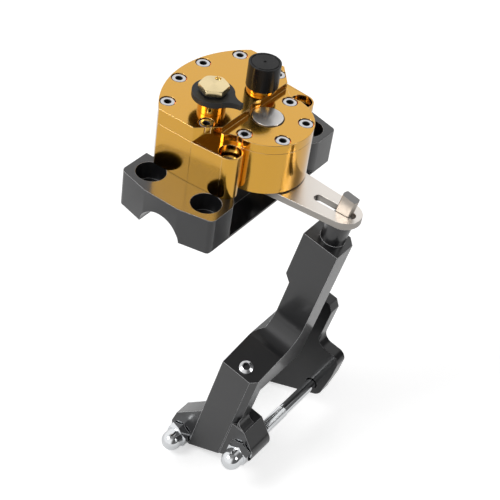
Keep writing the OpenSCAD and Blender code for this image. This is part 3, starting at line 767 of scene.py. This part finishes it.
@dataclass(frozen=True)
class SocketScrew:
    """Socket-head screw with a broken rim, a hexagon socket painted dark as shade, and a plain shank."""

    head_mm: float
    height_mm: float
    shank_mm: float
    rim_mm: float = 0.35
    rim_bend: float = 0.3
    key_part: float = 0.44
    key_slack_mm: float = 0.05
    depth_part: float = 0.7
    lead_mm: float = 0.15
    lead_depth_mm: float = 0.25
    dome_mm: float = 0.0
    dome_swell_mm: float = 0.3
    tip_mm: float = 0.5
    next_turn: float = 0.7

    def rings(self, length: float) -> list[Ring]:
        """Stack the rings of the screw, from the floor of its socket to its end.

        Args:
            length: Length of the whole screw in millimetres.

        Returns:
            The rings, with the socket in the second finish.
        """
        key = self.key_part * self.head_mm
        floor = self.depth_part * self.height_mm
        corner = key / math.cos(math.pi / 6) + self.key_slack_mm
        edge = self.head_mm - self.rim_mm
        bend = self.rim_bend * self.rim_mm
        return [
            Ring(floor, 0.0, finish=1),
            Ring(floor, corner, key, finish=1),
            Ring(self.lead_depth_mm, corner, key, finish=1),
            Ring(0.0, corner + self.lead_mm),
            Ring(self.dome_mm / 2, (corner + edge) / 2 + self.dome_swell_mm),
            Ring(self.dome_mm, edge),
            Ring(self.dome_mm + bend, self.head_mm - bend),
            Ring(self.dome_mm + self.rim_mm, self.head_mm),
            Ring(self.height_mm, self.head_mm),
            Ring(self.height_mm, self.shank_mm),
            Ring(length - self.tip_mm, self.shank_mm),
            Ring(length, self.shank_mm - self.tip_mm),
            Ring(length, 0.0),
        ]

    def build(
        self, name: str, node: str, axis: Vector, finishes: Sequence[bpy.types.Material]
    ) -> bpy.types.Object:
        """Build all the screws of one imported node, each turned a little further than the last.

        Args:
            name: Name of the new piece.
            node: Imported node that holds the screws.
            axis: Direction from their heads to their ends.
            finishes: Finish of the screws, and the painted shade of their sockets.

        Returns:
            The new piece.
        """
        pieces = []
        for k, seat in enumerate(seats_of(node, axis)):
            corner = Matrix.Rotation(self.next_turn * k, 3, axis) @ seat.corner
            turned = Seat(seat.start, seat.axis, corner, seat.length_mm)
            pieces.append((turned, self.rings(seat.length_mm)))
        return loft(name, pieces, finishes)


@dataclass(frozen=True)
class RecessRim:
    """Thin rim of the lid that parts a screw's recess from the wall beside it.

    The wall is flat, or hollow where its radius is given.
    """

    bearing_deg: float
    wall_mm: float
    hollow_mm: float = 0.0
    recess_mm: float = 4.7
    head_mm: float = 4.16
    above_mm: float = 0.29
    below_mm: float = 3.6
    reach_deg: int = 24
    step_deg: int = 2

    def wall(self, turn: float) -> float:
        """Distance from the screw's axis to the wall.

        Args:
            turn: Angle from the bearing, in radians.

        Returns:
            The distance in millimetres.
        """
        if not self.hollow_mm:
            return self.wall_mm / math.cos(turn)
        middle = self.wall_mm + self.hollow_mm
        return middle * math.cos(turn) - math.sqrt(self.hollow_mm**2 - (middle * math.sin(turn)) ** 2)

    def build(self, body: bmesh.types.BMesh, seat: Seat) -> None:
        """Add the rim beside one screw.

        Args:
            body: Mesh that takes the rim.
            seat: Seat of the screw.
        """
        bearing = math.copysign(math.radians(self.bearing_deg), seat.start.y)
        towards_wall = Vector((math.cos(bearing), math.sin(bearing), 0.0))
        place = Seat(seat.start, seat.axis, towards_wall, seat.length_mm)
        rows = []
        for degrees in range(-self.reach_deg, self.reach_deg + 1, self.step_deg):
            turn = math.radians(degrees)
            out = self.wall(turn)
            if out < self.recess_mm:
                corners = (
                    (-self.above_mm, self.head_mm),
                    (-self.above_mm, out),
                    (self.below_mm, out),
                    (self.below_mm, self.head_mm),
                )
                rows.append([body.verts.new(place.point(along, reach, turn)) for along, reach in corners])
        for one, two in zip(rows, rows[1:]):
            for k in range(4):
                body.faces.new((one[k], one[(k + 1) % 4], two[(k + 1) % 4], two[k]))
        body.faces.new(rows[0])
        body.faces.new(rows[-1])


def axis_of(node: str) -> tuple[float, float]:
    """Find where the upright axis of a turned node stands.

    Args:
        node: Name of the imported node.

    Returns:
        Its X and Y in metres.
    """
    middle = (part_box(node)[0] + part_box(node)[1]) / 2
    return middle.x, middle.y


@dataclass(frozen=True)
class Finishes:
    """Every finish of the damper, ready as a material."""

    gold: bpy.types.Material
    black: bpy.types.Material
    turned: bpy.types.Material
    knob: bpy.types.Material
    brass: bpy.types.Material
    deep: bpy.types.Material
    matt: bpy.types.Material
    ground: bpy.types.Material
    socket_shade: bpy.types.Material
    brushed: bpy.types.Material
    bright: bpy.types.Material
    chrome: bpy.types.Material
    bronze: bpy.types.Material
    rubber: bpy.types.Material


def make_finishes() -> Finishes:
    """Make the material of every finish.

    Returns:
        The finishes.
    """
    return Finishes(
        # Polished before the dye: clear warm reflections, with a painted highlight, a pale line, along
        # each edge.
        gold=AnodisedFinish(
            "gold_anodised_polished_aluminium", "#e0a83c", "#fff4d6", 1.0, 0.15, edge_highlight=0.5
        ).material(),
        # Fine milled: a soft grey sheen over black, with a painted highlight along the edges.
        black=AnodisedFinish(
            "black_anodised_fine_milled_aluminium",
            "#151517",
            "#f2f2f4",
            0.0,
            0.4,
            grain=0.004,
            specular=0.35,
            coat_roughness=0.16,
            coat_ior=1.5,
        ).material(),
        # Faced on a lathe: bright wedges of light that turn with the eye.
        turned=TurnedFinish("turned_steel", "#e2e0de", 1.0, 0.28, axis_of("damper_shaft")).material(),
        # Turned and dyed black: a narrow highlight down the knob's side.
        knob=TurnedFinish(
            "turned_black_anodised_aluminium",
            "#131314",
            0.0,
            0.25,
            axis_of("sweep_knob"),
            ring_mm=5.655,
            specular=0.25,
        ).material(),
        # Pale yellow brass with the wedges of its facing cut.
        brass=TurnedFinish("turned_polished_brass", "#f4dfae", 1.0, 0.24, axis_of("base_knob")).material(),
        # Smooth black anodising, painted darker than the milled black as shade on the rear jaw, with a
        # clearer gloss.
        deep=AnodisedFinish(
            "black_anodised_smooth_aluminium_painted_shade",
            "#0e0e10",
            "#b9b9bc",
            0.0,
            0.35,
            grain=0.004,
            specular=0.25,
            coat_roughness=0.12,
            coat_ior=1.38,
        ).material(),
        # Blasted before the dye: a flat black with no gloss, and a faint painted highlight along its
        # edges.
        matt=AnodisedFinish(
            "black_anodised_matt_aluminium", "#101011", "#38383a", 0.0, 0.5, coat=0.0
        ).material(),
        # Ground flats with a faint warm tone, and a top face painted greyer as shade.
        ground=PlainMetalFinish("ground_pin_steel", "#b0a89f", 0.3, top_shade_colour="#8b8a89").material(),
        # Dark grey painted shade inside the sockets, so that a socket looks deep.
        socket_shade=PlainMetalFinish("socket_steel_painted_shade", "#58585a", 0.4).material(),
        # Pale strokes along the arm, with its sides painted greyer as shade.
        brushed=BrushedFinish("brushed_stainless_steel", "#f2ece5", "#a8a39d", 0.34).material(),
        # Bright and a little soft.
        bright=PlainMetalFinish("bright_stainless_steel", "#d6d6d8", 0.2).material(),
        # A clear mirror.
        chrome=PlainMetalFinish("polished_chrome_plate", "#eceef0", 0.05, marks=0.01).material(),
        # Brown and dull, as porous bronze is.
        bronze=PlainMetalFinish("sintered_bearing_bronze", "#a5763f", 0.35).material(),
        # Dark grey with a broad weak sheen.
        rubber=RubberFinish().material(),
    )


@dataclass
class HandlebarClamp:
    """Black block that seats on the handlebar."""

    edges: EdgeBreak = EdgeBreak(0.15)

    def dress(self, finishes: Finishes) -> None:
        """Give the block its finish."""
        dress("bar_clamp", finishes.black, self.edges)


@dataclass
class DamperHead:
    """Gold housing and lid with their screws, seals and bushes."""

    edges: EdgeBreak = EdgeBreak(0.2)
    lid_screw: SocketScrew = SocketScrew(4.1, 3.6, 2.5)
    mount_screw: SocketScrew = SocketScrew(5.0, 6.0, 3.0)
    shoulder_rim: RecessRim = RecessRim(42.0, 4.456)
    deck_rim: RecessRim = RecessRim(88.2, 4.306, hollow_mm=8.4)
    flank_mm: tuple[tuple[float, float], tuple[float, float]] = ((0.45, 43.5), (21.0, 42.0))
    flank_root_mm: float = 0.3

    def fair_flanks(self, gold: bpy.types.Material) -> None:
        """Run the flat sides of the housing on into its ears, each by a thin wedge over their step.

        Args:
            gold: Finish of the housing.
        """
        body = bmesh.new()
        low, high = (corner.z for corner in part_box("housing"))
        (x0, y0), (x1, y1) = self.flank_mm
        outline = ((x0, y0), (x1, y1), (x1, y1 - self.flank_root_mm), (x0, y1 - self.flank_root_mm))
        for side in (-1, 1):
            loops = [
                [body.verts.new((x * MM, side * y * MM, z)) for x, y in outline] for z in (low, high)
            ]
            for k in range(4):
                body.faces.new((loops[0][k], loops[0][k - 1], loops[1][k - 1], loops[1][k]))
            for loop in loops:
                body.faces.new(loop)
        piece = finish_mesh("housing_flanks", body, (gold,))
        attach(piece, "damper")

    def restore_rims(self, gold: bpy.types.Material) -> None:
        """Close the recesses of the four screws that stand beside a wall of the lid.

        Args:
            gold: Finish of the lid.
        """
        body = bmesh.new()
        for seat in sorted(seats_of("upper_lid_screws", DOWN), key=lambda one: one.start.x)[-2:]:
            self.shoulder_rim.build(body, seat)
        for seat in sorted(seats_of("lower_lid_screws", DOWN), key=lambda one: abs(one.start.y))[-2:]:
            self.deck_rim.build(body, seat)
        piece = finish_mesh("lid_recess_rims", body, (gold,))
        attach(piece, "damper")

    def dress(self, finishes: Finishes) -> None:
        """Give the head's pieces their finishes.

        Args:
            finishes: Every finish of the damper.
        """
        for node in ("housing", "lid", "base_valve_post", "sweep_valve_collar"):
            dress(node, finishes.gold, self.edges)
        self.restore_rims(finishes.gold)
        self.fair_flanks(finishes.gold)
        screws = {
            "upper_lid_screws": self.lid_screw,
            "lower_lid_screws": self.lid_screw,
            "mounting_screws": self.mount_screw,
        }
        for node, screw in screws.items():
            heads = screw.build(f"{node}_socket_head", node, DOWN, (finishes.bright, finishes.socket_shade))
            stand_for(heads, node, "damper")
        for node in ("upper_bush", "lower_bush"):
            dress(node, finishes.bronze)
        for node in ("lid_seal", "upper_shaft_seal", "lower_shaft_seal"):
            dress(node, finishes.rubber)


@dataclass
class SwingArm:
    """Shaft, vane and slotted arm with the screw that holds them."""

    edges: EdgeBreak = EdgeBreak(0.3)

    def dress(self, finishes: Finishes) -> None:
        """Give the arm's pieces their finishes.

        Args:
            finishes: Every finish of the damper.
        """
        for node in ("damper_shaft", "vane"):
            dress(node, finishes.turned, self.edges)
        dress("link_arm", finishes.brushed, self.edges)
        for node in ("arm_washer", "arm_screw"):
            dress(node, finishes.bright, self.edges)
        dress("vane_seal", finishes.rubber)


@dataclass
class Adjusters:
    """Pointer with its brass cap, and the black knob."""

    edges: EdgeBreak = EdgeBreak(0.4)

    def dress(self, finishes: Finishes) -> None:
        """Give the adjusters' pieces their finishes.

        Args:
            finishes: Every finish of the damper.
        """
        dress("pointer", finishes.matt, self.edges)
        dress("sweep_knob", finishes.knob, self.edges)
        dress("base_knob", finishes.brass, self.edges)
        for node in ("base_needle", "sweep_spindle"):
            dress(node, finishes.turned)
        for node in ("base_oring", "sweep_oring"):
            dress(node, finishes.rubber)


@dataclass
class FrameTower:
    """Leaning post with its pin and the clamp that holds the motorcycle's frame."""

    edges: EdgeBreak = EdgeBreak(0.25)
    pin_edges: EdgeBreak = EdgeBreak(0.5)
    flats_mm: float = 14.0
    face_mm: float = 6.9
    chamfer_slope: float = 0.58
    nut_hex_mm: float = 7.0
    nut_bore_mm: float = 9.0
    dome_inset_mm: float = 0.5
    head_mm: float = 5.3
    bolt_mm: float = 4.0
    shank_mm: float = 3.6
    thread_mm: float = 52.0
    thread_depth_mm: float = 0.7
    thread_run_in_mm: float = 0.4
    thread_spare_steps: int = 3
    pitch_mm: float = 1.25
    shelf_screw: SocketScrew = SocketScrew(4.4, 2.6, 2.5, dome_mm=0.9)

    def hexagon(self, start: float, height: float) -> list[Ring]:
        """Stack the rings of a hexagon that is chamfered at both ends.

        Args:
            start: Where its first face lies along the axis, in millimetres.
            height: Its height.

        Returns:
            The rings, from face to face.
        """
        half = self.flats_mm / 2
        rise = half / math.cos(math.pi / 6) - self.face_mm
        steps = [rise * i / CHAMFER_STEPS for i in range(CHAMFER_STEPS + 1)]
        first = [Ring(start + self.chamfer_slope * step, self.face_mm + step, half) for step in steps]
        last = [Ring(2 * start + height - ring.along_mm, ring.round_mm, half) for ring in reversed(first)]
        return first + last

    def nut(self, seat: Seat) -> list[Ring]:
        """Stack the rings of one domed nut, from the end of its blind thread to the top of its dome.

        Args:
            seat: Seat of the nut.

        Returns:
            The rings.
        """
        dome = self.flats_mm / 2 - self.dome_inset_mm
        barrel_end = seat.length_mm - dome
        arcs = [math.radians(degrees) for degrees in range(0, 90, DOME_STEP_DEG)]
        return [
            Ring(self.nut_bore_mm, 0.0),
            Ring(self.nut_bore_mm, self.bolt_mm),
            Ring(0.0, self.bolt_mm),
            *self.hexagon(0.0, self.nut_hex_mm),
            Ring(self.nut_hex_mm, dome),
            *[Ring(barrel_end + dome * math.sin(a), dome * math.cos(a)) for a in arcs],
            Ring(seat.length_mm, 0.0),
        ]

    def bolt(self, seat: Seat) -> list[Ring]:
        """Stack the rings of one clamp bolt, from its head to its threaded end.

        Args:
            seat: Seat of the bolt.

        Returns:
            The rings.
        """
        thread_from = seat.length_mm - self.thread_mm
        cut_from = thread_from + self.thread_run_in_mm
        tip_from = seat.length_mm - self.thread_depth_mm
        steps = int((tip_from - thread_from) / self.pitch_mm * THREAD_STEPS) - self.thread_spare_steps
        places = [cut_from + i * self.pitch_mm / THREAD_STEPS for i in range(steps)]
        thread = [
            Ring(along, self.bolt_mm, groove_mm=self.thread_depth_mm, pitch_mm=self.pitch_mm)
            for along in places
        ]
        return [
            Ring(0.0, 0.0),
            *self.hexagon(0.0, self.head_mm),
            Ring(self.head_mm, self.shank_mm),
            Ring(thread_from, self.shank_mm),
            *thread,
            Ring(seat.length_mm, self.bolt_mm - self.thread_depth_mm),
            Ring(seat.length_mm, 0.0),
        ]

    def build(self, chrome: bpy.types.Material) -> None:
        """Build the domed nuts and the threaded bolts that stand for their plain solids.

        Args:
            chrome: Finish of the nuts and bolts.
        """
        nuts = [(seat, self.nut(seat)) for seat in seats_of("acorn_nuts", FORWARD)]
        stand_for(loft("domed_nuts", nuts, (chrome,)), "acorn_nuts", "tower")
        bolts = [(seat, self.bolt(seat)) for seat in seats_of("clamp_bolts", FORWARD)]
        stand_for(loft("threaded_bolts", bolts, (chrome,)), "clamp_bolts", "tower")

    def dress(self, finishes: Finishes) -> None:
        """Give the tower's pieces their finishes.

        Args:
            finishes: Every finish of the damper.
        """
        dress("tower", finishes.black, self.edges)
        # Painted shade: the rear jaw takes a darker black than the tower.
        dress("rear_jaw", finishes.deep, self.edges)
        dress("tower_pin", finishes.ground, self.pin_edges)
        dress("pin_bush", finishes.bronze)
        self.build(finishes.chrome)
        dress("clamp_washers", finishes.chrome, self.edges)
        node = "shelf_screw"
        screw = self.shelf_screw.build(
            f"{node}_button_head", node, flat_axis(node), (finishes.bright, finishes.socket_shade)
        )
        stand_for(screw, node, "tower")


@dataclass(frozen=True)
class Fade:
    """Soft change of the room's light from one level to another, between two places."""

    start: float
    end: float
    level: float
    end_level: float

    def settings(self) -> dict[str | int, object]:
        """Settings of the Map Range node that draws the fade."""
        places = {"From Min": self.start, "From Max": self.end}
        levels = {"To Min": self.level, "To Max": self.end_level}
        return {"interpolation_type": "SMOOTHSTEP", **places, **levels}


@dataclass(frozen=True)
class Softbox:
    """Square soft lamp, with its place and its side in metres and its power in watts."""

    name: str
    place: tuple[float, float, float]
    side: float
    watts: float

    def hang(self, aim: Sequence[float]) -> None:
        """Hang the lamp.

        Args:
            aim: Point that it faces, in metres.
        """
        data = bpy.data.lights.new(self.name, "AREA")
        data.size = self.side
        data.energy = self.watts
        lamp = bpy.data.objects.new(self.name, data)
        lamp.location = self.place
        lamp.rotation_euler = (Vector(aim) - Vector(self.place)).to_track_quat("-Z", "Y").to_euler()
        bpy.context.scene.collection.objects.link(lamp)


@dataclass
class Studio:
    """White floor and room, soft lamps and the camera."""

    camera_mm: tuple[float, float, float] = (343.6, -541.5, 504.0)
    right: tuple[float, float, float] = (0.7965, 0.5925, 0.1204)
    down: tuple[float, float, float] = (0.4659, -0.4744, -0.7470)
    ahead: tuple[float, float, float] = (-0.3855, 0.6510, -0.6539)
    lens_mm: float = 97.6
    sensor_mm: float = 36.0
    sight_m: tuple[float, float] = (0.01, 50.0)
    floor_m: float = 6.0
    floor_gap_mm: float = 0.1
    floor_grey: float = 0.8
    floor_glow: float = 0.5
    floor_mirrored: float = 0.11
    ceiling: Fade = Fade(0.72, 0.97, 0.95, 0.25)
    dark_side: tuple[float, float, float] = (0.98, 0.2, 0.0)
    dark_wall: Fade = Fade(0.17, 0.62, 1.0, 0.12)
    aim_m: tuple[float, float, float] = (0.03, 0.0, -0.05)
    softboxes: tuple[Softbox, ...] = (
        Softbox("key_softbox", (-0.45, -0.75, 0.85), 0.5, 5.0),
        Softbox("right_softbox", (0.9, 0.25, 0.5), 0.4, 2.0),
    )

    def place_camera(self) -> None:
        """Set the camera where the photograph was taken from."""
        data = bpy.data.cameras.new("photo_camera")
        data.lens = self.lens_mm
        data.sensor_width = self.sensor_mm
        data.clip_start, data.clip_end = self.sight_m
        camera = bpy.data.objects.new("photo_camera", data)
        columns = (Vector(self.right), -Vector(self.down), -Vector(self.ahead))
        turn = Matrix([c.normalized() for c in columns]).transposed().to_4x4()
        camera.matrix_world = Matrix.Translation(Vector(self.camera_mm) * MM) @ turn
        bpy.context.scene.collection.objects.link(camera)
        bpy.context.scene.camera = camera

    def lay_floor(self) -> None:
        """Lay the white floor under the lowest point of the object."""
        mesh = bpy.data.meshes.new("white_floor")
        half = self.floor_m / 2
        z = CAD_BOX[0].z - self.floor_gap_mm * MM
        corners = [(-half, -half, z), (half, -half, z), (half, half, z), (-half, half, z)]
        mesh.from_pydata(corners, [], [(0, 1, 2, 3)])
        floor = bpy.data.objects.new("white_floor", mesh)
        bpy.context.scene.collection.objects.link(floor)
        mesh.materials.append(self.floor_material())

    def floor_material(self) -> bpy.types.Material:
        """Build a matt floor, plain white to the camera and a little under white in the metal.

        Returns:
            The new material.
        """
        material, tree = new_material("white_studio_floor")
        path = add_node(tree, "ShaderNodeLightPath")
        grey = (self.floor_grey, self.floor_grey, self.floor_grey, 1.0)
        matt = add_node(tree, "ShaderNodeBsdfDiffuse", {"Color": grey})
        mirrored = add_node(
            tree,
            "ShaderNodeMath",
            {"operation": "MULTIPLY", 1: self.floor_mirrored},
            {0: path.outputs["Is Glossy Ray"]},
        )
        level = add_node(
            tree,
            "ShaderNodeMath",
            {"operation": "MULTIPLY_ADD", 1: self.floor_glow},
            {0: path.outputs["Is Camera Ray"], 2: mirrored.outputs["Value"]},
        )
        glow = add_node(
            tree,
            "ShaderNodeEmission",
            {"Color": (1.0, 1.0, 1.0, 1.0)},
            {"Strength": level.outputs["Value"]},
        )
        lit = add_node(
            tree, "ShaderNodeAddShader", None, {0: matt.outputs["BSDF"], 1: glow.outputs["Emission"]}
        )
        add_node(tree, "ShaderNodeOutputMaterial", None, {"Surface": lit.outputs["Shader"]})
        return material

    def light_world(self) -> None:
        """Make the white room: plain white to the camera, with a dim ceiling and a dark right side."""
        world = bpy.data.worlds.new("white_room")
        bpy.context.scene.world = world
        world.use_nodes = True
        tree = world.node_tree
        tree.nodes.clear()
        path = add_node(tree, "ShaderNodeLightPath")
        place = add_node(tree, "ShaderNodeTexCoord")
        height = add_node(tree, "ShaderNodeSeparateXYZ", None, {"Vector": place.outputs["Generated"]})
        ceiling = add_node(
            tree, "ShaderNodeMapRange", self.ceiling.settings(), {"Value": height.outputs["Z"]}
        )
        facing = add_node(
            tree,
            "ShaderNodeVectorMath",
            {"operation": "DOT_PRODUCT", 1: self.dark_side},
            {0: place.outputs["Generated"]},
        )
        side = add_node(
            tree, "ShaderNodeMapRange", self.dark_wall.settings(), {"Value": facing.outputs["Value"]}
        )
        walls = add_node(
            tree,
            "ShaderNodeMath",
            {"operation": "MULTIPLY"},
            {0: ceiling.outputs["Result"], 1: side.outputs["Result"]},
        )
        room = add_node(
            tree,
            "ShaderNodeMix",
            {"data_type": "FLOAT", "B": 1.0},
            {"Factor": path.outputs["Is Camera Ray"], "A": walls.outputs["Value"]},
        )
        backdrop = add_node(
            tree,
            "ShaderNodeBackground",
            {"Color": (1.0, 1.0, 1.0, 1.0)},
            {"Strength": room.outputs["Result"]},
        )
        add_node(tree, "ShaderNodeOutputWorld", None, {"Surface": backdrop.outputs["Background"]})

    def build(self) -> None:
        """Set up the whole studio."""
        bpy.context.scene.view_settings.view_transform = "Standard"
        self.place_camera()
        self.lay_floor()
        self.light_world()
        for softbox in self.softboxes:
            softbox.hang(self.aim_m)


def main() -> None:
    """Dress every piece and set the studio."""
    logging.basicConfig(level=logging.INFO, format="%(name)s: %(message)s")
    finishes = make_finishes()
    for assembly in (HandlebarClamp(), DamperHead(), SwingArm(), Adjusters(), FrameTower()):
        assembly.dress(finishes)
    Studio().build()


if __name__ == "__main__":
    main()
